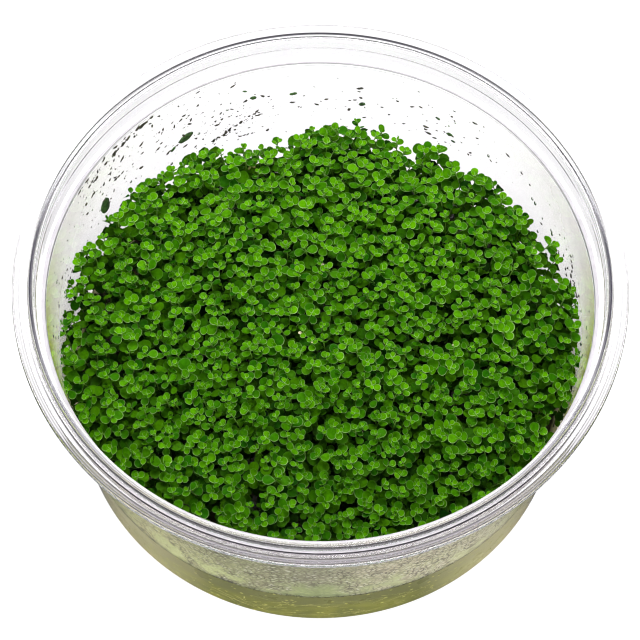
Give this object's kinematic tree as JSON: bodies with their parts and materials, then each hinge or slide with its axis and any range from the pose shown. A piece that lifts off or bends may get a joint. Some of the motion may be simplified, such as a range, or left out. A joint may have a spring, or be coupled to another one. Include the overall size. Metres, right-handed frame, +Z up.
{
  "type": "dwarf baby tears in a culture cup",
  "caption": "Carpet of tiny round aquarium-plant leaves growing on a layer of culture gel in a low round open clear cup with a wide rim",
  "frame": {"origin": "middle of the cup's underside, on the surface that it stands on", "axes": "+Z up through the cup's opening, -Y towards the viewer in the picture, +X to the right"},
  "size_m": [0.105, 0.105, 0.046],
  "materials": {
    "clear_plastic": "clear, glossy, slightly scuffed, with condensation on the wall",
    "culture_gel": "soft set gel, cloudy yellow-green, wet",
    "leaf": "thin living leaf, satin, mid green with paler edges"
  },
  "bodies": {
    "root": {"cup": "clear_plastic", "culture_gel": "culture_gel", "tuft_inner_01": "leaf", "tuft_inner_02": "leaf", "tuft_inner_03": "leaf", "tuft_outer_01": "leaf", "tuft_outer_02": "leaf", "tuft_outer_03": "leaf", "tuft_outer_04": "leaf", "tuft_outer_05": "leaf", "tuft_outer_06": "leaf", "tuft_outer_07": "leaf", "tuft_outer_08": "leaf"}
  },
  "joints": []
}
